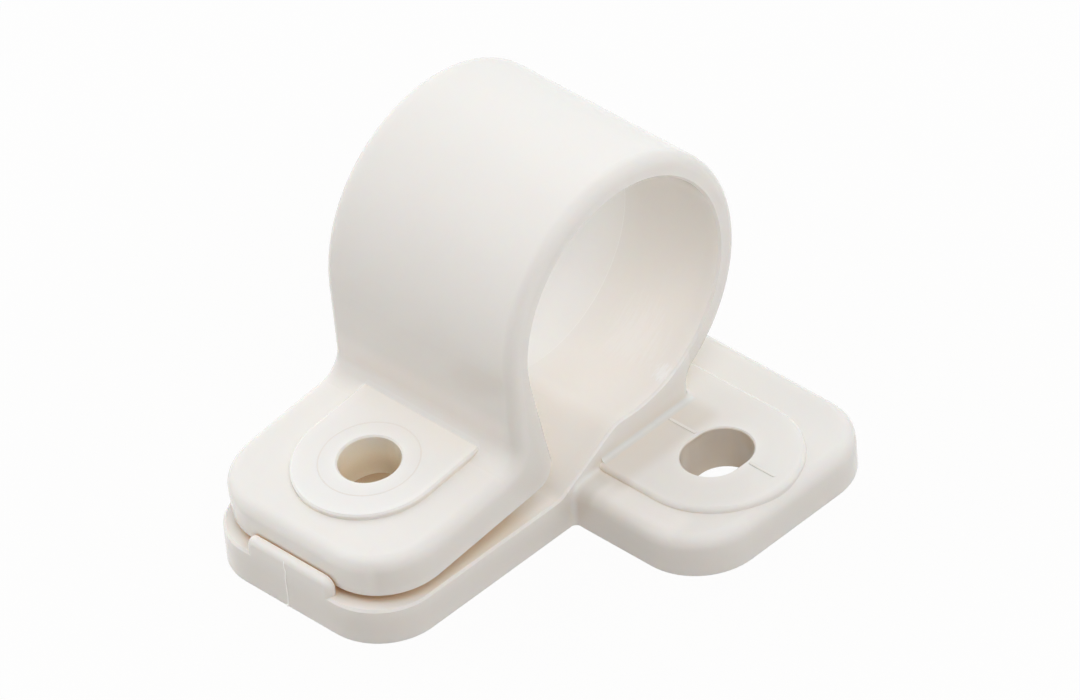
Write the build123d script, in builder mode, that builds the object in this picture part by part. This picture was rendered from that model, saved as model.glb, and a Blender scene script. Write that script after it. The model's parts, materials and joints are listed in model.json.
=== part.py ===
from build123d import *
from math import acos, cos, degrees, radians, sin, sqrt
import os

# One-piece moulded pipe clip, in millimetres, +Z up.
# The pipe runs along Y, its axis passes over the origin, and Z = 0 is the face against the wall.

# Band round the pipe
bore_radius = 11.0
axis_height = 17.85
clip_width = 21.1
band_wall = 2.08
band_edge_radius = 1.1
inner_edge_chamfer = 0.2

# Strap leg and strap foot, moulded a little open
leg_inner_lean = 10.0
leg_outer_lean = 1.0
heel_radius = 2.0
toe_radius = 2.0
strap_tilt = 6.0
strap_thickness = 3.65
strap_end_gap = 0.55
strap_corner_radius = 5.8

# Base strip, seat ramp and pedestal under the band
base_length = 29.5
base_thickness = 3.35
base_corner_radius = 5.4
ramp_foot = 8.9
ramp_slope = 28.0
ramp_foot_radius = 1.5
crest_radius = 3.0
pedestal_reach = 6.6
pedestal_corner_radius = 1.8

# Lip that stops the end of the strap foot
lip_thickness = 0.75
lip_length = 9.45
lip_height = 1.6
lip_corner_radius = 0.9
lip_edge_radius = 0.6
lip_clearance = 0.25

# Wide foot in front of the band
foot_left = 7.55
foot_right = 14.2
foot_reach = 14.1
foot_thickness = 3.7
foot_corner_radius = 5.7
foot_edge_radius = 1.2
root_radius = 0.5

# Screw pads, round holes and slot
pad_height = 0.5
foot_pad_edge_radius = 0.4
strap_pad_edge_chamfer = 0.15
hole_rim_chamfer = 0.14
screw_hole = 5.25
strap_pad_width = 13.0
strap_hole_distance = 9.45
foot_pad_width = 14.4
foot_pad_back_margin = 2.5
foot_screw_offset = 2.7
foot_screw_reach = 6.35
slot_length = 6.4

# Places worked out from the sizes above
same_place = 1e-6
front = -clip_width / 2
outer_radius = bore_radius + band_wall
strap_end = -base_length + lip_thickness + lip_clearance
pad_top = foot_thickness + pad_height
pad_left = foot_screw_offset - foot_pad_width / 2
pad_back = clip_width / 2 - foot_pad_back_margin
foot_screw = Vector(foot_screw_offset, front - foot_screw_reach)


def heading(angle):
    """Unit vector of the side profile at an angle in degrees from +X."""
    return Vector(cos(radians(angle)), sin(radians(angle)))


def crossing(start, start_angle, other, other_angle):
    """Point where two lines of the side profile meet, each given by a point and an angle."""
    way = heading(start_angle)
    side = heading(other_angle + 90)
    return start + way * ((other - start).dot(side) / way.dot(side))


# Points of the side profile, X across the pipe and Y up
axis = Vector(0, axis_height)
leg_inner_top = axis + heading(180 + leg_inner_lean) * bore_radius
leg_outer_top = axis + heading(180 + leg_outer_lean) * outer_radius
strap_under = Vector(strap_end, base_thickness + strap_end_gap)
strap_over = strap_under + heading(strap_tilt + 90) * strap_thickness
toe = crossing(leg_inner_top, leg_inner_lean - 90, strap_under, strap_tilt)
heel = crossing(leg_outer_top, leg_outer_lean - 90, strap_over, strap_tilt)
ramp_start = Vector(-ramp_foot, base_thickness)
ramp_run = (axis - ramp_start).dot(heading(ramp_slope))
ramp_drop = (axis - ramp_start).dot(heading(ramp_slope + 90))
crest = ramp_start + heading(ramp_slope) * (ramp_run - sqrt(bore_radius**2 - ramp_drop**2))
crest_angle = degrees(acos(crest.X / bore_radius))
pedestal_angle = degrees(acos(pedestal_reach / outer_radius))
pedestal_top = axis + heading(-pedestal_angle) * outer_radius

# Top of the strap foot, with its own X towards the band
strap_plane = Plane(
    origin=(strap_over.X, 0, strap_over.Y),
    x_dir=(cos(radians(strap_tilt)), 0, sin(radians(strap_tilt))),
    z_dir=(-sin(radians(strap_tilt)), 0, cos(radians(strap_tilt))),
)
base_screw = strap_plane.from_local_coords(Vector(strap_hole_distance, 0, -strap_thickness))


def on_pad_rim(edge):
    """True for a free edge of the strap pad's top."""
    level = strap_plane.to_local_coords(edge.position_at(0.5)).Z
    return abs(level - pad_height) < same_place and not edge.is_interior


def arcs_of(part, radius):
    """Edges of a part that follow a circle of the given radius."""
    circles = part.edges().filter_by(GeomType.CIRCLE)
    return circles.filter_by(lambda edge: abs(edge.radius - radius) < same_place)


# Section of a hollow root, its corner at the origin
with BuildSketch() as root_section:
    with BuildLine():
        Polyline((0, root_radius), (0, 0), (root_radius, 0))
        CenterArc((root_radius, root_radius), root_radius, 270, -90)
    make_face()

with BuildPart() as foot:
    # Wide foot, rounded along its top
    with BuildSketch():
        with Locations((-foot_left, -front)):
            RectangleRounded(foot_left + foot_right, clip_width + foot_reach, foot_corner_radius,
                             align=(Align.MIN, Align.MAX))
    extrude(amount=foot_thickness)
    fillet(foot.faces().sort_by(Axis.Z)[-1].edges(), foot_edge_radius)
    # Raised pad, round at its front end and running back beside the band
    with BuildSketch(Plane.XY.offset(foot_thickness / 2)):
        with Locations(foot_screw):
            Circle(foot_pad_width / 2)
            Rectangle(foot_pad_width, pad_back - foot_screw.Y, align=(Align.CENTER, Align.MIN))
    extrude(amount=pad_top - foot_thickness / 2)
    fillet(foot.faces().sort_by(Axis.Z)[-1].edges(), foot_pad_edge_radius)

with BuildPart() as lip:
    # Lip on the end of the base strip, rounded along its outer edges
    with BuildSketch(Plane.YZ.offset(-base_length)) as lip_face:
        with Locations((0, base_thickness + lip_height)):
            Rectangle(lip_length, lip_height + base_thickness / 2, align=(Align.CENTER, Align.MAX))
        fillet(lip_face.vertices().group_by(Axis.Y)[-1], lip_corner_radius)
    extrude(amount=lip_thickness)
    rim = lip.faces().sort_by(Axis.X)[0].edges()
    fillet(rim - rim.group_by(Axis.Z)[0], lip_edge_radius)

with BuildPart() as clip:
    # Base strip, seat, band and strap in one side profile
    with BuildSketch(Plane.XZ) as profile:
        with BuildLine():
            Polyline(crest, ramp_start, (-base_length, base_thickness), (-base_length, 0),
                     (pedestal_reach, 0), pedestal_top)
            CenterArc(axis, outer_radius, -pedestal_angle, 180 + leg_outer_lean + pedestal_angle)
            Polyline(leg_outer_top, heel, strap_over, strap_under, toe, leg_inner_top)
            CenterArc(axis, bore_radius, 180 + leg_inner_lean, -(180 + leg_inner_lean + crest_angle))
        make_face()
        for corner, radius in (
            (toe, toe_radius),
            (heel, heel_radius),
            (crest, crest_radius),
            (ramp_start, ramp_foot_radius),
            (pedestal_top, pedestal_corner_radius),
        ):
            fillet(profile.vertices().sort_by_distance(corner)[0], radius)
    extrude(amount=clip_width / 2, both=True)
    # Rounded ends of the base strip and of the strap foot, seen from above
    fillet(clip.edges().filter_by(Axis.Z).group_by(Axis.X)[0], base_corner_radius)
    fillet(clip.edges().filter_by(Axis((0, 0, 0), strap_plane.z_dir)), strap_corner_radius)
    # Soft outer edges: the rounding runs on along the leg, the strap foot and the pedestal
    fillet(arcs_of(clip, outer_radius), band_edge_radius)
    # Lightly broken inner edges, running on along the gap and the base strip
    chamfer(arcs_of(clip, bore_radius), inner_edge_chamfer)
    # Wide foot and lip
    add(foot.part)
    add(lip.part)
    # Hollow root up the foot's side and over its top, where it meets the base strip
    with BuildLine(Plane.XZ.offset(-front)) as side_root_path:
        FilletPolyline((-foot_left, 0), (-foot_left, foot_thickness), (pad_left, foot_thickness),
                       radius=foot_edge_radius)
    with BuildSketch(Plane(origin=(-foot_left, front, 0), x_dir=(-1, 0, 0), z_dir=(0, 0, 1))):
        add(root_section.sketch)
    sweep(path=side_root_path.wire())
    # Hollow root where the foot's pad meets the pedestal
    pad_root_start = pad_left + foot_pad_edge_radius
    with BuildLine(Plane.XY.offset(pad_top)) as pad_root_path:
        FilletPolyline((pad_root_start, front), (pedestal_reach, front), (pedestal_reach, pad_back),
                       radius=band_edge_radius)
    with BuildSketch(Plane(origin=(pad_root_start, front, pad_top), x_dir=(0, -1, 0), z_dir=(-1, 0, 0))):
        add(root_section.sketch)
    sweep(path=pad_root_path.wire())
    # Raised pad on the strap foot, round towards its end and running into the leg
    with BuildSketch(strap_plane):
        with Locations((strap_hole_distance, 0)):
            Circle(strap_pad_width / 2)
            Rectangle((heel - strap_over).length - strap_hole_distance, strap_pad_width,
                      align=(Align.MIN, Align.CENTER))
    extrude(amount=pad_height)
    chamfer(clip.edges(Select.LAST).filter_by(on_pad_rim), strap_pad_edge_chamfer)
    # Screw hole through the strap foot, another through the base strip below it, and the foot's slot
    with BuildSketch(strap_plane.offset(pad_height)):
        with Locations((strap_hole_distance, 0)):
            Circle(screw_hole / 2)
    extrude(amount=-(pad_height + strap_thickness + strap_end_gap), mode=Mode.SUBTRACT)
    chamfer(clip.edges(Select.LAST).filter_by(on_pad_rim), hole_rim_chamfer)
    with BuildSketch():
        with Locations((base_screw.X, 0)):
            Circle(screw_hole / 2)
    extrude(amount=base_thickness + strap_end_gap, mode=Mode.SUBTRACT)
    with BuildSketch():
        with Locations(foot_screw):
            SlotOverall(slot_length, screw_hole)
    extrude(amount=pad_top, mode=Mode.SUBTRACT)
    slot_rims = clip.edges(Select.LAST).group_by(Axis.Z)
    chamfer(slot_rims[0] + slot_rims[-1], hole_rim_chamfer)

os.makedirs("parts", exist_ok=True)
clip.part.label = "pipe_clip"
export_step(clip.part, "parts/pipe_clip.step")
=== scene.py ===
"""Looks of a one-piece moulded pipe clip: satin off-white plastic, its mould marks and a pale studio."""

import json
import logging
from dataclasses import dataclass
from enum import Enum
from math import cos, pi, radians, sin

import bmesh
import bpy
import numpy as np
from mathutils import Matrix, Vector


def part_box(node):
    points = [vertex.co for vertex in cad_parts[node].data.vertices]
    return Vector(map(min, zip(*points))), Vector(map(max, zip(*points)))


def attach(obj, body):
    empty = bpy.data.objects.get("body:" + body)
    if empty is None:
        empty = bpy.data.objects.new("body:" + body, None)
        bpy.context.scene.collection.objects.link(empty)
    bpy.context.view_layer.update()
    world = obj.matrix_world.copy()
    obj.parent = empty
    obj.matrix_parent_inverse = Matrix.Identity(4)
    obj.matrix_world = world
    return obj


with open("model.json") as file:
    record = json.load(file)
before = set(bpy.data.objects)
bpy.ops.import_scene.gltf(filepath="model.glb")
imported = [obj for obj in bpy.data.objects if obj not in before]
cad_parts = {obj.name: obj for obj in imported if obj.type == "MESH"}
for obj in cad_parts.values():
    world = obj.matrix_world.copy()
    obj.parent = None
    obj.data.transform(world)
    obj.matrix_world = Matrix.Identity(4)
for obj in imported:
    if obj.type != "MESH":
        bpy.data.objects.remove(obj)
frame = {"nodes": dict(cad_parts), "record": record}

Tree = bpy.types.NodeTree
Socket = bpy.types.NodeSocket
Triple = tuple[float, float, float]
Colour = tuple[float, float, float]

MM = 0.001
CLIP_NODE = "pipe_clip"
BODY = "root"
ZERO: Triple = (0.0, 0.0, 0.0)
ACROSS_PIPE: Triple = (1.0, 0.0, 1.0)
WHITE: Colour = (1.0, 1.0, 1.0)
NUMBER_STEPS = ("LENGTH", "DISTANCE", "DOT_PRODUCT")

log = logging.getLogger("pipe_clip")


class MountName(Enum):
    """The record's mounts that the looks are placed by."""

    PIPE_SEAT = "pipe_seat"
    STRAP_HOLE = "strap_screw_hole"
    BASE_HOLE = "base_screw_hole"
    FOOT_SLOT = "foot_slot"


class MarkName(Enum):
    """Names of the fine marks that the mould left on the clip."""

    WITNESS_RING = "pad_witness_ring"
    TICK_BACK = "foot_pad_tick_back"
    TICK_FRONT = "foot_pad_tick_front"
    END_FLASH = "end_flash_line"
    BORE_SEAM = "bore_seam"


class LampRole(Enum):
    """Where each lamp stands, seen from the pipe's near end."""

    TOP = "top_softbox"
    FRONT = "front_softbox"
    LOW_RIGHT = "low_right_fill"
    BACK_RIGHT = "back_right_softbox"
    BACK_LEFT = "back_left_softbox"
    LOW_BACK_LEFT = "low_back_left_fill"


def mm(x: float, y: float, z: float) -> Triple:
    """Turns a place in millimetres into metres."""
    return (x * MM, y * MM, z * MM)


def mount_entry(mount: MountName) -> dict:
    """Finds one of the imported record's mounts.

    Args:
        mount: Which mount it is.

    Returns:
        The mount's entry, with its place in metres and its axis.
    """
    return next(entry for entry in frame["record"]["mounts"] if entry["name"] == mount.value)


def wire(tree: Tree, kind: str, inputs: dict | None = None, **settings: object) -> bpy.types.Node:
    """Adds a node, sets it up and links its inputs.

    Args:
        tree: The tree that gets the node.
        kind: Blender's name for the kind of node.
        inputs: Input socket, by name or number, to a plain value or to another node's output.
        **settings: The node's own settings.

    Returns:
        The new node.
    """
    node = tree.nodes.new(kind)
    for name, value in settings.items():
        setattr(node, name, value)
    for socket, value in (inputs or {}).items():
        if isinstance(value, Socket):
            tree.links.new(value, node.inputs[socket])
        else:
            node.inputs[socket].default_value = value
    return node


def number(tree: Tree, step: str, *terms: Socket | float) -> Socket:
    """Works out one step of arithmetic with numbers.

    Args:
        tree: The tree that gets the node.
        step: Blender's name for the step.
        *terms: What goes into it, in order.

    Returns:
        The result's socket.
    """
    return wire(tree, "ShaderNodeMath", dict(enumerate(terms)), operation=step).outputs[0]


def vector(tree: Tree, step: str, *terms: Socket | Triple) -> Socket:
    """Works out one step of arithmetic with vectors.

    Args:
        tree: The tree that gets the node.
        step: Blender's name for the step.
        *terms: What goes into it, in order.

    Returns:
        The result's socket, which is a number for the steps that give one and otherwise a vector.
    """
    node = wire(tree, "ShaderNodeVectorMath", dict(enumerate(terms)), operation=step)
    return node.outputs["Value" if step in NUMBER_STEPS else "Vector"]


def times(tree: Tree, plain: Triple, factor: Socket) -> Socket:
    """Multiplies a vector or a colour by a number.

    Args:
        tree: The tree that gets the node.
        plain: The vector or colour.
        factor: The number.

    Returns:
        The result's socket.
    """
    return wire(tree, "ShaderNodeVectorMath", {0: plain, "Scale": factor}, operation="SCALE").outputs[0]


def fall(tree: Tree, value: Socket, full: float, none: float) -> Socket:
    """Falls smoothly from 1 to 0 as a value rises.

    Args:
        tree: The tree that gets the node.
        value: The value.
        full: The value up to which the result is 1.
        none: The value from which it is 0.

    Returns:
        The result's socket.
    """
    return wire(tree, "ShaderNodeMapRange", {
        "Value": value, "From Min": full, "From Max": none, "To Min": 1.0, "To Max": 0.0,
    }, interpolation_type="SMOOTHSTEP").outputs[0]


def noise(tree: Tree, place: Socket, size: float, detail: float) -> Socket:
    """Makes soft noise.

    Args:
        tree: The tree that gets the node.
        place: Where the noise is read.
        size: About how large its lumps are.
        detail: How many finer layers it has.

    Returns:
        The noise's socket, about 0.5 on average.
    """
    lumps = wire(tree, "ShaderNodeTexNoise", {"Vector": place, "Scale": 1 / size, "Detail": detail})
    return lumps.outputs["Fac"]


def blend(tree: Tree, kind: str, share: Socket | float, under: Socket, over: Socket | Colour) -> Socket:
    """Blends one colour over another.

    Args:
        tree: The tree that gets the node.
        kind: How they blend, in Blender's word for it.
        share: How much of the blend shows.
        under: The lower colour.
        over: The upper colour.

    Returns:
        The blended colour's socket.
    """
    mixed = wire(tree, "ShaderNodeMix", data_type="RGBA", blend_type=kind)
    sockets = {socket.identifier: socket for socket in mixed.inputs}
    upper = over if isinstance(over, Socket) else (*over, 1.0)
    for name, value in (("Factor_Float", share), ("A_Color", under), ("B_Color", upper)):
        if isinstance(value, Socket):
            tree.links.new(value, sockets[name])
        else:
            sockets[name].default_value = value
    return next(socket for socket in mixed.outputs if socket.identifier == "Result_Color")


@dataclass(frozen=True)
class DragMarks:
    """Fine lines round the bore, drawn by the mould's core as it was pulled, whitened in colour as painted
    glints.
    """

    angle: float
    along: float
    reach: float
    painted_glint_strength: float
    line_length: float = 1.8 * MM
    line_width: float = 0.2 * MM
    line_detail: float = 3.0
    wall_margin: float = 0.15 * MM
    faint_below: float = 0.3
    full_above: float = 0.5

    def share(self, tree: Tree, place: Socket) -> Socket:
        """Tells how far a place is whitened as a painted glint: noise drawn out round the bore, fading
        from the patch's middle.

        Args:
            tree: The material's tree.
            place: The place on the clip.

        Returns:
            A socket between 0 and the painted glint strength, which is 0 off the bore's wall.
        """
        seat = mount_entry(MountName.PIPE_SEAT)
        axis = Vector(seat["pos_m"])
        radius = seat["dims"]["r_mm"] * MM
        turn = radians(self.angle)
        middle = axis + Vector((cos(turn) * radius, self.along, sin(turn) * radius))
        away = vector(tree, "DISTANCE", vector(tree, "MULTIPLY", place, ACROSS_PIPE), axis)
        on_wall = number(tree, "LESS_THAN", away, radius + self.wall_margin)
        fade = fall(tree, vector(tree, "DISTANCE", place, middle), 0.0, self.reach)
        stretch = (1 / self.line_length, 1 / self.line_width, 1 / self.line_length)
        lines = noise(tree, vector(tree, "MULTIPLY", place, stretch), 1.0, self.line_detail)
        lying = number(tree, "MULTIPLY", number(tree, "MULTIPLY", lines, fade), on_wall)
        return wire(tree, "ShaderNodeMapRange", {
            "Value": lying,
            "From Min": self.faint_below,
            "From Max": self.full_above,
            "To Max": self.painted_glint_strength,
        }).outputs[0]


@dataclass(frozen=True)
class PaintedLightZone:
    """A round or slotted stretch along a mount's axis, whose colour is made lighter or darker as painted
    light and shade.
    """

    mount: MountName
    tone: Colour
    radius: float
    low: float
    high: float
    straight: float = 0.0
    fade: float = 0.05 * MM
    level_fade: float = 0.05 * MM

    def share(self, tree: Tree, place: Socket) -> Socket:
        """Tells whether a place is in the zone: near the axis and between two levels along it.

        Args:
            tree: The material's tree.
            place: The place on the clip.

        Returns:
            A socket that is 1 in the zone and falls to 0 over the fades round it.
        """
        entry = mount_entry(self.mount)
        axis = Vector(entry["axis"])
        offset = vector(tree, "SUBTRACT", place, entry["pos_m"])
        level = vector(tree, "DOT_PRODUCT", offset, axis)
        flat = vector(tree, "SUBTRACT", offset, times(tree, axis, level))
        if self.straight:
            past = vector(tree, "SUBTRACT", vector(tree, "ABSOLUTE", flat), (self.straight, 0.0, 0.0))
            flat = vector(tree, "MAXIMUM", past, ZERO)
        near = fall(tree, vector(tree, "LENGTH", flat), self.radius, self.radius + self.fade)
        half = (self.high - self.low) / 2
        off_middle = number(tree, "ABSOLUTE", number(tree, "SUBTRACT", level, self.low + half))
        between = fall(tree, off_middle, half, half + self.level_fade)
        return number(tree, "MULTIPLY", near, between)


@dataclass(frozen=True)
class PaintedLightBox:
    """A square-cornered stretch of the clip, whose colour is made lighter or darker as painted light and
    shade.
    """

    low: Triple
    high: Triple
    tone: Colour
    fade: float = 0.05 * MM

    def share(self, tree: Tree, place: Socket) -> Socket:
        """Tells whether a place is in the box.

        Args:
            tree: The material's tree.
            place: The place on the clip.

        Returns:
            A socket that is 1 in the box and falls to 0 over the fade round it.
        """
        low, high = Vector(self.low), Vector(self.high)
        offset = vector(tree, "SUBTRACT", place, (low + high) / 2)
        past = vector(tree, "SUBTRACT", vector(tree, "ABSOLUTE", offset), (high - low) / 2)
        away = vector(tree, "LENGTH", vector(tree, "MAXIMUM", past, ZERO))
        return fall(tree, away, 0.0, self.fade)


@dataclass(frozen=True)
class SatinPlastic:
    """Finish of a moulded, slightly milky plastic, with painted shade and light in its crevices, painted
    highlights on its edges, painted light and shade in set zones, and a faint painted glow deep in
    crevices.
    """

    name: str = "satin_plastic"
    colour: Colour = (0.875, 0.850, 0.812)
    roughness: float = 0.16
    refraction: float = 1.5
    milkiness: float = 0.3
    milk_depth: float = 0.35 * MM
    milk_radius: Colour = (1.0, 0.62, 0.40)
    cloud_size: float = 9.0 * MM
    cloud_detail: float = 2.0
    cloud_depth: float = 0.015
    grain_size: float = 0.16 * MM
    grain_detail: float = 3.0
    grain_height: float = 0.004 * MM
    # Painted shade and light set by how open a place is: warm and dark deep in crevices, lighter a little
    # further out
    crevice_reach: float = 12.0 * MM
    crevice_rays: int = 4
    painted_crevice_shading: tuple[tuple[float, Colour], ...] = (
        (0.08, (0.93, 0.72, 0.52)),
        (0.30, (1.09, 1.05, 0.94)),
        (0.42, (1.0, 0.965, 0.9)),
        (0.49, WHITE),
        (0.60, WHITE),
        (0.70, (0.975, 0.955, 0.935)),
        (0.78, WHITE),
    )
    # Painted glow, warm, deep in crevices
    painted_crevice_glow: Colour = (0.036, 0.022, 0.012)
    glow_full: float = 0.04
    glow_none: float = 0.22
    # Painted highlight on convex edges and thin parts, found by rays from inside that soon meet the far
    # side
    edge_reach: float = 1.4 * MM
    edge_rays: int = 2
    painted_edge_highlight: Colour = (1.05, 1.06, 1.07)
    edge_full: float = 0.45
    edge_none: float = 0.95
    # Painted glow over the whole finish, standing in for light through a thin mark
    glow: float = 0.0
    drags: tuple[DragMarks, ...] = ()
    painted_light_zones: tuple[PaintedLightZone | PaintedLightBox, ...] = ()

    def painted_crevice_tone(self, tree: Tree, open_sky: Socket) -> Socket:
        """Reads the painted crevice shading off a ramp: painted shade, warm and dark, in deep crevices,
        and painted light a little further out.

        Args:
            tree: The material's tree.
            open_sky: How open the place is, from 0 to 1.

        Returns:
            The tone's socket.
        """
        ramp = wire(tree, "ShaderNodeValToRGB", {"Fac": open_sky})
        stops = ramp.color_ramp.elements
        first, *between, last = self.painted_crevice_shading
        for share, tone in between:
            stops.new(share).color = (*tone, 1.0)
        for stop, (share, tone) in ((stops[0], first), (stops[-1], last)):
            stop.position = share
            stop.color = (*tone, 1.0)
        return ramp.outputs["Color"]

    def base_tone(self, tree: Tree, place: Socket, open_sky: Socket) -> Socket:
        """Colours the plastic: faint clouds, painted shade and light in crevices, painted highlights on
        edges, painted light and shade in its zones, and its drag marks whitened as painted glints.

        Args:
            tree: The material's tree.
            place: The place on the clip.
            open_sky: How open the place is, from 0 to 1.

        Returns:
            The colour's socket.
        """
        cloud = noise(tree, place, self.cloud_size, self.cloud_detail)
        tint = wire(tree, "ShaderNodeValToRGB", {"Fac": cloud})
        dark = tuple(channel * (1 - self.cloud_depth) for channel in self.colour)
        tint.color_ramp.elements[0].color = (*dark, 1.0)
        tint.color_ramp.elements[1].color = (*self.colour, 1.0)
        # Painted highlight on edges and thin parts
        inner = wire(tree, "ShaderNodeAmbientOcclusion", {"Distance": self.edge_reach},
                     samples=self.edge_rays, only_local=True, inside=True)
        thin = fall(tree, inner.outputs["AO"], self.edge_full, self.edge_none)
        # Painted shade and light in crevices
        tone = blend(tree, "MULTIPLY", 1.0, tint.outputs["Color"], self.painted_crevice_tone(tree, open_sky))
        tone = blend(tree, "MULTIPLY", thin, tone, self.painted_edge_highlight)
        # Painted light and shade in set zones
        for zone in self.painted_light_zones:
            tone = blend(tree, "MULTIPLY", zone.share(tree, place), tone, zone.tone)
        # Drag marks whitened as painted glints
        for drag in self.drags:
            tone = blend(tree, "MIX", drag.share(tree, place), tone, WHITE)
        return tone

    def material(self) -> bpy.types.Material:
        """Builds the finish: its tone, satin gloss, milky depth, fine grain, and a painted glow that is
        faint deep in crevices and, for a mark given one, spread over the whole mark.

        Returns:
            The new material.
        """
        made = bpy.data.materials.new(self.name)
        made.use_nodes = True
        tree = made.node_tree
        tree.nodes.clear()
        place = wire(tree, "ShaderNodeTexCoord").outputs["Object"]
        grain = noise(tree, place, self.grain_size, self.grain_detail)
        bump = wire(tree, "ShaderNodeBump", {"Height": grain, "Distance": self.grain_height})
        open_sky = wire(tree, "ShaderNodeAmbientOcclusion", {"Distance": self.crevice_reach},
                        samples=self.crevice_rays, only_local=True).outputs["AO"]
        deep = fall(tree, open_sky, self.glow_full, self.glow_none)
        # Painted light: the mark's own glow, standing in for light through a thin mark, plus a warm
        # painted glow deep in crevices
        painted_own_glow = tuple(channel * self.glow for channel in self.colour)
        shader = wire(tree, "ShaderNodeBsdfPrincipled", {
            "Base Color": self.base_tone(tree, place, open_sky),
            "Roughness": self.roughness,
            "IOR": self.refraction,
            "Subsurface Weight": self.milkiness,
            "Subsurface Radius": self.milk_radius,
            "Subsurface Scale": self.milk_depth,
            "Emission Color": vector(tree, "ADD", painted_own_glow, times(tree, self.painted_crevice_glow, deep)),
            "Emission Strength": 1.0,
            "Normal": bump.outputs["Normal"],
        })
        wire(tree, "ShaderNodeOutputMaterial", {"Surface": shader.outputs["BSDF"]})
        return made


def mark_plastic(name: str, colour: Colour, glow: float = 0.0) -> SatinPlastic:
    """Finish of a mould mark, which is too thin to be milky or to get painted edge highlights.

    Args:
        name: The material's name.
        colour: Its colour.
        glow: How strongly it glows, as painted light standing in for light through the thin mark.

    Returns:
        The finish.
    """
    return SatinPlastic(name, colour, milkiness=0.0, painted_edge_highlight=WHITE, glow=glow)


# Drag marks on the bore, whitened as painted glints
BORE_DRAGS = (
    DragMarks(angle=-57.0, along=-5.5 * MM, reach=7.5 * MM, painted_glint_strength=0.16),
    DragMarks(angle=-67.0, along=-9.7 * MM, reach=2.2 * MM, painted_glint_strength=0.55,
              line_length=0.6 * MM, line_width=0.12 * MM),
)
BORE_PAINTED_LIGHT = (
    # Painted light on the bore: the whole wall, its rear end with a long fade, and the half behind the
    # seam
    PaintedLightZone(MountName.PIPE_SEAT, (1.035, 1.026, 1.02), radius=11.05 * MM,
             low=-10.3 * MM, high=10.3 * MM, fade=2.0 * MM),
    PaintedLightZone(MountName.PIPE_SEAT, (1.07, 1.09, 1.115), radius=11.05 * MM,
             low=4.0 * MM, high=12.0 * MM, fade=0.6 * MM, level_fade=7.0 * MM),
    PaintedLightZone(MountName.PIPE_SEAT, (1.022, 1.024, 1.028), radius=11.05 * MM, low=0.0, high=12.0 * MM),
)
HOLE_PAINTED_LIGHT = (
    # Painted light on the strap hole's wall and painted shade at its deep end, lighter and bluer painted
    # light on the base strip round its hole, and painted shade on the slot's wall
    PaintedLightZone(MountName.STRAP_HOLE, (1.1, 1.09, 1.07), radius=2.65 * MM, low=-2.1 * MM, high=1.9 * MM),
    PaintedLightZone(MountName.STRAP_HOLE, (0.84, 0.83, 0.79), radius=2.65 * MM,
             low=-2.2 * MM, high=-1.5 * MM, level_fade=2.2 * MM),
    PaintedLightZone(MountName.BASE_HOLE, (1.18, 1.4, 1.6), radius=4.4 * MM,
             low=-1.9 * MM, high=1.7 * MM, fade=0.6 * MM),
    PaintedLightZone(MountName.FOOT_SLOT, (0.81, 0.76, 0.70), radius=2.65 * MM,
             low=-4.3 * MM, high=0.1 * MM, straight=0.575 * MM),
)
STRAP_PAINTED_LIGHT = (
    # Painted light on the strap foot's end, the top of its pad, and the leg above the bend
    PaintedLightBox(mm(-28.7, -8.0, 4.9), mm(-27.9, 8.0, 6.6), (1.09, 1.09, 1.09), fade=0.8 * MM),
    PaintedLightZone(MountName.STRAP_HOLE, (1.02, 1.03, 1.04), radius=8.9 * MM, low=1.8 * MM, high=2.4 * MM),
    PaintedLightBox(mm(-14.5, -8.5, 11.2), mm(-12.5, 9.0, 12.2), (1.06, 1.045, 1.05), fade=1.6 * MM),
)
FOOT_PAINTED_LIGHT = (
    # Painted light and shade: cooler on the hollow root, lighter on the pedestal's front, painted shade on
    # the pad's back and on the foot's back left corner, and lighter on its left edge
    PaintedLightBox(mm(-4.4, -11.02, 4.22), mm(6.6, -10.58, 4.68), (0.955, 0.99, 1.015)),
    PaintedLightBox(mm(-8.0, -10.7, 3.4), mm(6.5, -10.5, 9.0), (1.05, 1.06, 1.08), fade=0.15 * MM),
    PaintedLightBox(mm(-4.4, -13.0, 4.1), mm(5.5, -11.15, 4.3), (0.92, 0.898, 0.87), fade=1.6 * MM),
    PaintedLightBox(mm(-7.5, -11.9, 3.2), mm(-5.4, -11.3, 3.8), (0.89, 0.89, 0.875), fade=0.9 * MM),
    PaintedLightBox(mm(-6.4, -20.0, 3.3), mm(-5.0, -14.5, 3.8), (1.065, 1.055, 1.055), fade=1.5 * MM),
)
BODY_PLASTIC = SatinPlastic(drags=BORE_DRAGS, painted_light_zones=BORE_PAINTED_LIGHT + HOLE_PAINTED_LIGHT + STRAP_PAINTED_LIGHT + FOOT_PAINTED_LIGHT)
# Flash and seam: lighter marks whose glow is painted light standing in for light through them
FLASH_PLASTIC = mark_plastic("flash_plastic", (0.93, 0.93, 0.915), glow=0.16)
SEAM_PLASTIC = mark_plastic("seam_plastic", (0.98, 0.96, 0.925), glow=0.02)
# Witness ring: coloured darker and warmer, painted shade standing in for the shade of its fine groove
WITNESS_PLASTIC = mark_plastic("witness_plastic", (0.855, 0.81, 0.755))
RIB_PLASTIC = mark_plastic("rib_plastic", (0.865, 0.832, 0.78))


@dataclass
class ClipBody:
    """The moulding itself, as the CAD gives it."""

    finish: SatinPlastic

    def dress(self) -> None:
        """Gives the CAD node its plastic."""
        node = frame["nodes"][CLIP_NODE]
        node.data.materials.clear()
        node.data.materials.append(self.finish.material())
        log.info("dressed %s", CLIP_NODE)


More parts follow.
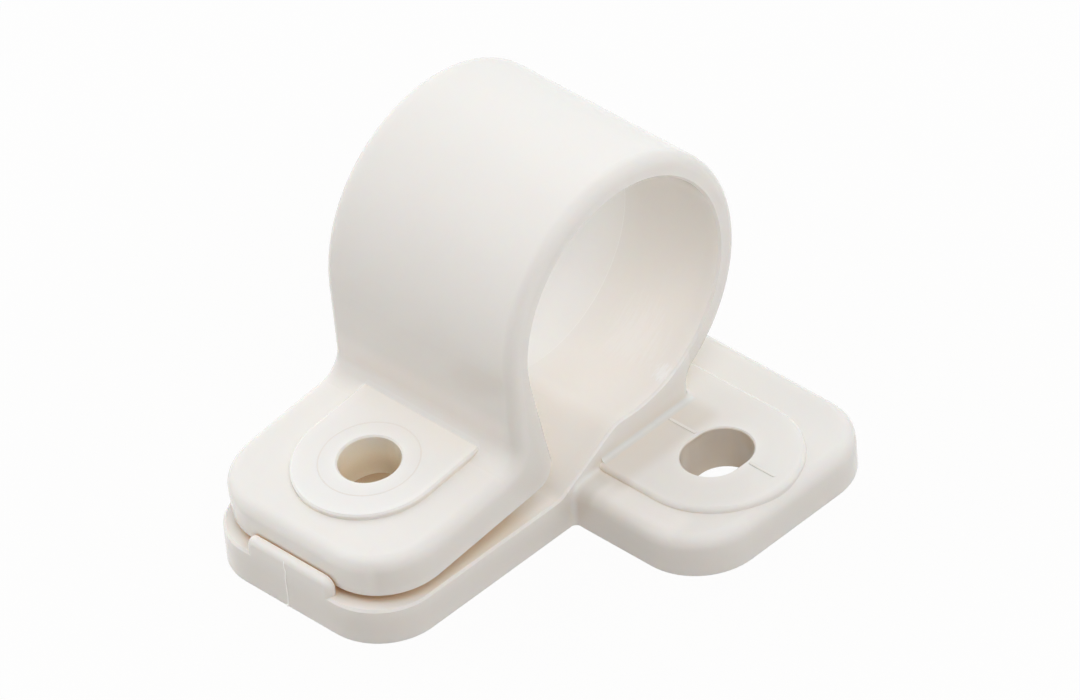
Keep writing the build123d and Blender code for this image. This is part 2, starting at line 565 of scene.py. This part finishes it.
@dataclass(frozen=True)
class Bead:
    """A low bead of plastic that follows a path on a surface, half sunk in it."""

    path: np.ndarray
    outward: np.ndarray
    half_width: float
    height: float
    swell: np.ndarray
    closed: bool = False
    boxiness: float = 1.0
    around: int = 16
    weld_gap: float = 1e-8

    def mesh(self, name: str) -> bpy.types.Mesh:
        """Carries an oval along the path.

        A point is the path's point plus the swell there times the sum of two parts: half the width
        times the cosine of the angle, across the path, and the height times its sine, outwards.
        Cosine and sine are raised to the boxiness, with their signs kept, so a power under 1 gives a
        flatter top. The swell is 0 at an open end, which closes it.

        Args:
            name: The mesh's name.

        Returns:
            A closed mesh.
        """
        count = len(self.path)
        if self.closed:
            along = np.roll(self.path, -1, axis=0) - np.roll(self.path, 1, axis=0)
        else:
            along = np.gradient(self.path, axis=0)
        across = np.cross(along, self.outward)
        across /= np.linalg.norm(across, axis=1, keepdims=True)
        angle = np.linspace(0, 2 * pi, self.around, endpoint=False)
        wide = np.sign(np.cos(angle)) * np.abs(np.cos(angle)) ** self.boxiness
        high = np.sign(np.sin(angle)) * np.abs(np.sin(angle)) ** self.boxiness
        oval = (self.half_width * wide[None, :, None] * across[:, None, :]
                + self.height * high[None, :, None] * self.outward[:, None, :])
        points = self.path[:, None, :] + self.swell[:, None, None] * oval
        row = np.arange(count if self.closed else count - 1)[:, None]
        column = np.arange(self.around)[None, :]
        next_row = (row + 1) % count
        next_column = (column + 1) % self.around
        corners = [row * self.around + column, row * self.around + next_column,
                   next_row * self.around + next_column, next_row * self.around + column]
        faces = np.stack(np.broadcast_arrays(*corners), axis=-1).reshape(-1, 4)
        made = bpy.data.meshes.new(name)
        made.from_pydata(points.reshape(-1, 3), [], faces)
        shape = bmesh.new()
        shape.from_mesh(made)
        bmesh.ops.remove_doubles(shape, verts=shape.verts, dist=self.weld_gap)
        bmesh.ops.recalc_face_normals(shape, faces=shape.faces)
        shape.to_mesh(made)
        shape.free()
        made.shade_smooth()
        return made


def open_swell(count: int, fullness: float) -> np.ndarray:
    """Swell of an open bead: the root of one minus a power of the place along it, from -1 to 1.

    Args:
        count: How many places there are.
        fullness: The power; a high one keeps the width almost to the ends.

    Returns:
        The swell at each place, 0 at both ends.
    """
    return np.sqrt(1 - np.abs(np.linspace(-1, 1, count)) ** fullness)


@dataclass
class MouldMarks:
    """Fine marks that the mould left: a witness ring, two ribs, a flash line and a seam."""

    flash: bpy.types.Material
    seam: bpy.types.Material
    witness: bpy.types.Material
    rib: bpy.types.Material
    ring_radius: float = 4.2 * MM
    ring_width: float = 0.11 * MM
    ring_height: float = 0.012 * MM
    ring_steps: int = 160
    tick_x: float = 3.33 * MM
    tick_width: float = 0.32 * MM
    tick_height: float = 0.08 * MM
    tick_fullness: float = 24.0
    tick_boxiness: float = 0.45
    tick_steps: int = 60
    tick_back: tuple[float, float] = (-14.0 * MM, -11.0 * MM)
    tick_front: tuple[float, float] = (-22.7 * MM, -19.87 * MM)
    flash_points: tuple[tuple[float, float], ...] = (
        (0.33, 4.62), (0.31, 3.89), (0.21, 3.66), (0.32, 2.83),
        (0.28, 1.90), (0.26, 0.92), (0.28, 0.24), (0.33, 0.02),
    )
    flash_width: float = 0.085 * MM
    flash_height: float = 0.06 * MM
    flash_fullness: float = 30.0
    flash_steps: int = 120
    flash_blob: float = 3.4
    blob_reach: float = 0.15 * MM
    lip_top: float = 4.95 * MM
    lip_round: float = 0.6 * MM
    seam_width: float = 0.09 * MM
    seam_height: float = 0.014 * MM
    seam_fullness: float = 4.0
    seam_steps: int = 200
    seam_from: float = -94.0
    seam_to: float = 186.0

    def place(self, mark: MarkName, bead: Bead, finish: bpy.types.Material) -> None:
        """Makes a bead an object that rides on the clip.

        Args:
            mark: Which mark it is.
            bead: Its shape.
            finish: Its material.
        """
        piece = bpy.data.objects.new(mark.value, bead.mesh(mark.value))
        bpy.context.scene.collection.objects.link(piece)
        piece.data.materials.append(finish)
        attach(piece, BODY)
        log.info("made %s", piece.name)

    def witness_ring(self) -> Bead:
        """A circle round the strap hole.

        Its middle is the mount's place, moved up the hole's axis by half its length.

        Returns:
            The bead.
        """
        hole = mount_entry(MountName.STRAP_HOLE)
        axis = np.array(hole["axis"])
        middle = np.array(hole["pos_m"]) + axis * hole["dims"]["length_mm"] / 2 * MM
        side = np.array([axis[2], 0.0, -axis[0]])
        turn = np.linspace(0, 2 * pi, self.ring_steps, endpoint=False)[:, None]
        path = middle + self.ring_radius * (np.cos(turn) * side + np.sin(turn) * np.array([0.0, 1.0, 0.0]))
        return Bead(path, np.broadcast_to(axis, path.shape), self.ring_width / 2, self.ring_height,
                    np.ones(len(path)), closed=True)

    def tick(self, ends: tuple[float, float]) -> Bead:
        """A straight flat-topped rib on the foot's pad, along Y at one X.

        Args:
            ends: Where it starts and ends along Y.

        Returns:
            The bead.
        """
        pad_top = mount_entry(MountName.FOOT_SLOT)["pos_m"][2]
        along = np.linspace(*ends, self.tick_steps)
        path = np.stack([np.full_like(along, self.tick_x), along, np.full_like(along, pad_top)], axis=1)
        return Bead(path, np.broadcast_to([0.0, 0.0, 1.0], path.shape), self.tick_width / 2,
                    self.tick_height, open_swell(len(along), self.tick_fullness),
                    boxiness=self.tick_boxiness)

    def end_flash(self) -> Bead:
        """A bent bead down the end of the base strip, from the lip's rounding to a blob at the wall face.

        Y is read off the given points at each height. X is the strip's end, moved in over the lip's
        rounding by the radius minus the root of its square minus the square of the height above the
        rounding's middle. The swell grows by a bell curve towards the wall face.

        Returns:
            The bead.
        """
        lowest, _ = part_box(CLIP_NODE)
        side, height = np.array(self.flash_points).T * MM
        level = np.linspace(height[0], height[-1], self.flash_steps)
        across = np.interp(-level, -height, side)
        over = np.maximum(level - self.lip_top + self.lip_round, 0.0)
        inward = np.sqrt(self.lip_round**2 - over**2)
        path = np.stack([lowest.x + self.lip_round - inward, across, level], axis=1)
        outward = np.stack([-inward, np.zeros_like(level), over], axis=1) / self.lip_round
        blob = 1 + self.flash_blob * np.exp(-(level / self.blob_reach) ** 2)
        swell = open_swell(len(level), self.flash_fullness) * blob
        return Bead(path, outward, self.flash_width / 2, self.flash_height, swell)

    def bore_seam(self) -> Bead:
        """An arc on the bore at mid-width: the seat's middle plus its radius at each angle.

        Returns:
            The bead.
        """
        seat = mount_entry(MountName.PIPE_SEAT)
        turn = np.radians(np.linspace(self.seam_from, self.seam_to, self.seam_steps))
        outward = -np.stack([np.cos(turn), np.zeros_like(turn), np.sin(turn)], axis=1)
        path = np.array(seat["pos_m"]) - outward * seat["dims"]["r_mm"] * MM
        return Bead(path, outward, self.seam_width / 2, self.seam_height,
                    open_swell(len(turn), self.seam_fullness))

    def build(self) -> None:
        """Makes all the marks."""
        self.place(MarkName.WITNESS_RING, self.witness_ring(), self.witness)
        self.place(MarkName.TICK_BACK, self.tick(self.tick_back), self.rib)
        self.place(MarkName.TICK_FRONT, self.tick(self.tick_front), self.rib)
        self.place(MarkName.END_FLASH, self.end_flash(), self.flash)
        self.place(MarkName.BORE_SEAM, self.bore_seam(), self.seam)


@dataclass(frozen=True)
class Lamp:
    """A square softbox that looks at the clip."""

    role: LampRole
    azimuth: float
    elevation: float
    level: float
    colour: Colour = WHITE
    distance: float = 0.5
    side: float = 0.35

    def hang(self, aim: Vector) -> None:
        """Hangs the lamp.

        Its power is the level times pi squared times the square of its distance, which lights a matt
        white sheet that faces it at that level.

        Args:
            aim: The point that it looks at.
        """
        turn, rise = radians(self.azimuth), radians(self.elevation)
        way = Vector((sin(turn) * cos(rise), -cos(turn) * cos(rise), sin(rise)))
        data = bpy.data.lights.new(self.role.value, "AREA")
        data.size = self.side
        data.energy = self.level * pi**2 * self.distance**2
        data.color = self.colour
        lamp = bpy.data.objects.new(self.role.value, data)
        lamp.visible_glossy = False
        bpy.context.scene.collection.objects.link(lamp)
        facing = way.to_track_quat("Z", "Y").to_matrix().to_4x4()
        lamp.matrix_world = Matrix.Translation(aim + way * self.distance) @ facing
        log.info("hung %s", self.role.value)


@dataclass(frozen=True)
class SkyLobe:
    """A broad glow in the surroundings, strongest in one direction."""

    towards: Triple
    level: float
    colour: Colour = WHITE


@dataclass
class Studio:
    """Pale floor, white surroundings and soft lamps."""

    floor_half: float = 3.0
    floor_drop: float = 0.02 * MM
    floor_colour: Colour = (0.74, 0.715, 0.685)
    # Painted shadow colour of the paper near the clip
    painted_shadow_colour: Colour = (0.65, 0.61, 0.56)
    near_reach: float = 25.0 * MM
    far_reach: float = 70.0 * MM
    floor_glow: float = 0.955
    sky_colour: Colour = (1.0, 0.995, 0.985)
    sky_level: float = 0.03
    sky_lobes: tuple[SkyLobe, ...] = (
        SkyLobe((-0.7071, 0.7071, 0.0), 0.37, (1.0, 0.97, 0.95)),
        SkyLobe((0.7071, 0.7071, 0.0), 1.12, (0.945, 0.985, 1.0)),
    )
    lamps: tuple[Lamp, ...] = (
        Lamp(LampRole.TOP, azimuth=0.0, elevation=85.0, level=0.09, colour=(0.85, 0.95, 1.0)),
        Lamp(LampRole.FRONT, azimuth=-20.0, elevation=55.0, level=0.512, colour=(1.0, 0.97, 0.972)),
        Lamp(LampRole.LOW_RIGHT, azimuth=40.0, elevation=25.0, level=0.178, colour=(0.97, 0.99, 0.99)),
        Lamp(LampRole.BACK_RIGHT, azimuth=137.0, elevation=50.0, level=0.08, colour=(0.93, 0.98, 1.0)),
        Lamp(LampRole.BACK_LEFT, azimuth=-137.0, elevation=50.0, level=0.08, colour=(0.94, 0.97, 1.0)),
        Lamp(LampRole.LOW_BACK_LEFT, azimuth=-155.0, elevation=25.0, level=0.228),
    )

    def seen_directly(self, tree: Tree) -> Socket:
        """Marks the rays that show the surroundings: from the camera, in gloss and through clear things.

        Args:
            tree: The tree that asks.

        Returns:
            A socket that is 1 for such a ray and 0 for one that only carries light.
        """
        ray = wire(tree, "ShaderNodeLightPath").outputs
        bounced = number(tree, "MAXIMUM", ray["Is Glossy Ray"], ray["Is Transmission Ray"])
        return number(tree, "MAXIMUM", ray["Is Camera Ray"], bounced)

    def floor_paper(self) -> bpy.types.Material:
        """Makes the floor's matt paper, with a painted shadow that darkens it near the clip; seen directly
        it is mostly plain white.

        Returns:
            The new material.
        """
        paper = bpy.data.materials.new("floor_paper")
        paper.use_nodes = True
        tree = paper.node_tree
        tree.nodes.clear()
        place = wire(tree, "ShaderNodeTexCoord").outputs["Object"]
        # Painted shadow: the paper darkens towards the clip
        near = fall(tree, vector(tree, "LENGTH", place), self.near_reach, self.far_reach)
        tone = wire(tree, "ShaderNodeRGB").outputs[0]
        tone.default_value = (*self.floor_colour, 1.0)
        shaded = blend(tree, "MIX", near, tone, self.painted_shadow_colour)
        matt = wire(tree, "ShaderNodeBsdfDiffuse", {"Color": shaded})
        glow = wire(tree, "ShaderNodeEmission", {"Strength": 1.0})
        share = number(tree, "MULTIPLY", self.seen_directly(tree), self.floor_glow)
        mixed = wire(tree, "ShaderNodeMixShader", {0: share, 1: matt.outputs[0], 2: glow.outputs[0]})
        wire(tree, "ShaderNodeOutputMaterial", {"Surface": mixed.outputs[0]})
        return paper

    def lay_floor(self) -> None:
        """Lays a square floor just under the clip, to hold its soft shadow."""
        half, level = self.floor_half, -self.floor_drop
        corners = [(-half, -half, level), (half, -half, level), (half, half, level), (-half, half, level)]
        sheet = bpy.data.meshes.new("studio_floor")
        sheet.from_pydata(corners, [], [(0, 1, 2, 3)])
        floor = bpy.data.objects.new("studio_floor", sheet)
        bpy.context.scene.collection.objects.link(floor)
        sheet.materials.append(self.floor_paper())
        log.info("laid the floor")

    def set_sky(self) -> None:
        """Lights the clip from a white backdrop, and shows plain white where the surroundings are seen."""
        sky = bpy.data.worlds.new("studio_sky")
        bpy.context.scene.world = sky
        sky.use_nodes = True
        tree = sky.node_tree
        tree.nodes.clear()
        light = wire(tree, "ShaderNodeBackground",
                     {"Color": (*self.sky_colour, 1.0), "Strength": self.sky_level})
        look = wire(tree, "ShaderNodeTexCoord").outputs["Generated"]
        for lobe in self.sky_lobes:
            facing = vector(tree, "DOT_PRODUCT", look, lobe.towards)
            lit = number(tree, "MAXIMUM", number(tree, "MULTIPLY", facing, lobe.level), 0.0)
            glow = wire(tree, "ShaderNodeBackground", {"Color": (*lobe.colour, 1.0), "Strength": lit})
            light = wire(tree, "ShaderNodeAddShader", {0: light.outputs[0], 1: glow.outputs[0]})
        white = wire(tree, "ShaderNodeBackground", {"Color": (*WHITE, 1.0), "Strength": 1.0})
        mixed = wire(tree, "ShaderNodeMixShader",
                     {0: self.seen_directly(tree), 1: light.outputs[0], 2: white.outputs[0]})
        wire(tree, "ShaderNodeOutputWorld", {"Surface": mixed.outputs[0]})
        log.info("set the sky")

    def build(self, aim: Vector) -> None:
        """Builds the studio round the clip.

        Args:
            aim: The point that the lamps look at.
        """
        self.lay_floor()
        self.set_sky()
        for lamp in self.lamps:
            lamp.hang(aim)
        bpy.context.scene.view_settings.view_transform = "Standard"


@dataclass
class LongLensCamera:
    """The camera that took the photograph, for an image of 1080 by 700 pixels."""

    azimuth: float = -42.72
    elevation: float = 38.78
    roll: float = -5.35
    aim: Triple = mm(-0.566, -0.684, 8.544)
    distance: float = 838.21 * MM
    lens: float = 345.5
    sensor: float = 36.0
    near_share: float = 0.1
    far_share: float = 20.0

    def stand(self) -> None:
        """Stands the camera behind its aim point, turned by its azimuth and elevation and then rolled."""
        turn, rise, lean = radians(self.azimuth), radians(self.elevation), radians(self.roll)
        back = Vector((sin(turn) * cos(rise), -cos(turn) * cos(rise), sin(rise)))
        level = Vector((cos(turn), sin(turn), 0.0))
        upright = back.cross(level)
        right = level * cos(lean) + upright * sin(lean)
        up = upright * cos(lean) - level * sin(lean)
        data = bpy.data.cameras.new("photo_camera")
        data.sensor_fit = "HORIZONTAL"
        data.sensor_width = self.sensor
        data.lens = self.lens
        data.clip_start = self.distance * self.near_share
        data.clip_end = self.distance * self.far_share
        camera = bpy.data.objects.new("photo_camera", data)
        bpy.context.scene.collection.objects.link(camera)
        camera.matrix_world = (Matrix.Translation(Vector(self.aim) + back * self.distance)
                               @ Matrix((right, up, back)).transposed().to_4x4())
        bpy.context.scene.camera = camera
        log.info("stood the camera")


def main() -> None:
    """Dresses the clip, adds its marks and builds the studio."""
    logging.basicConfig(level=logging.INFO, format="%(name)s: %(message)s")
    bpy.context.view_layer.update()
    ClipBody(BODY_PLASTIC).dress()
    MouldMarks(FLASH_PLASTIC.material(), SEAM_PLASTIC.material(), WITNESS_PLASTIC.material(),
               RIB_PLASTIC.material()).build()
    camera = LongLensCamera()
    Studio().build(Vector(camera.aim))
    camera.stand()


if __name__ == "__main__":
    main()
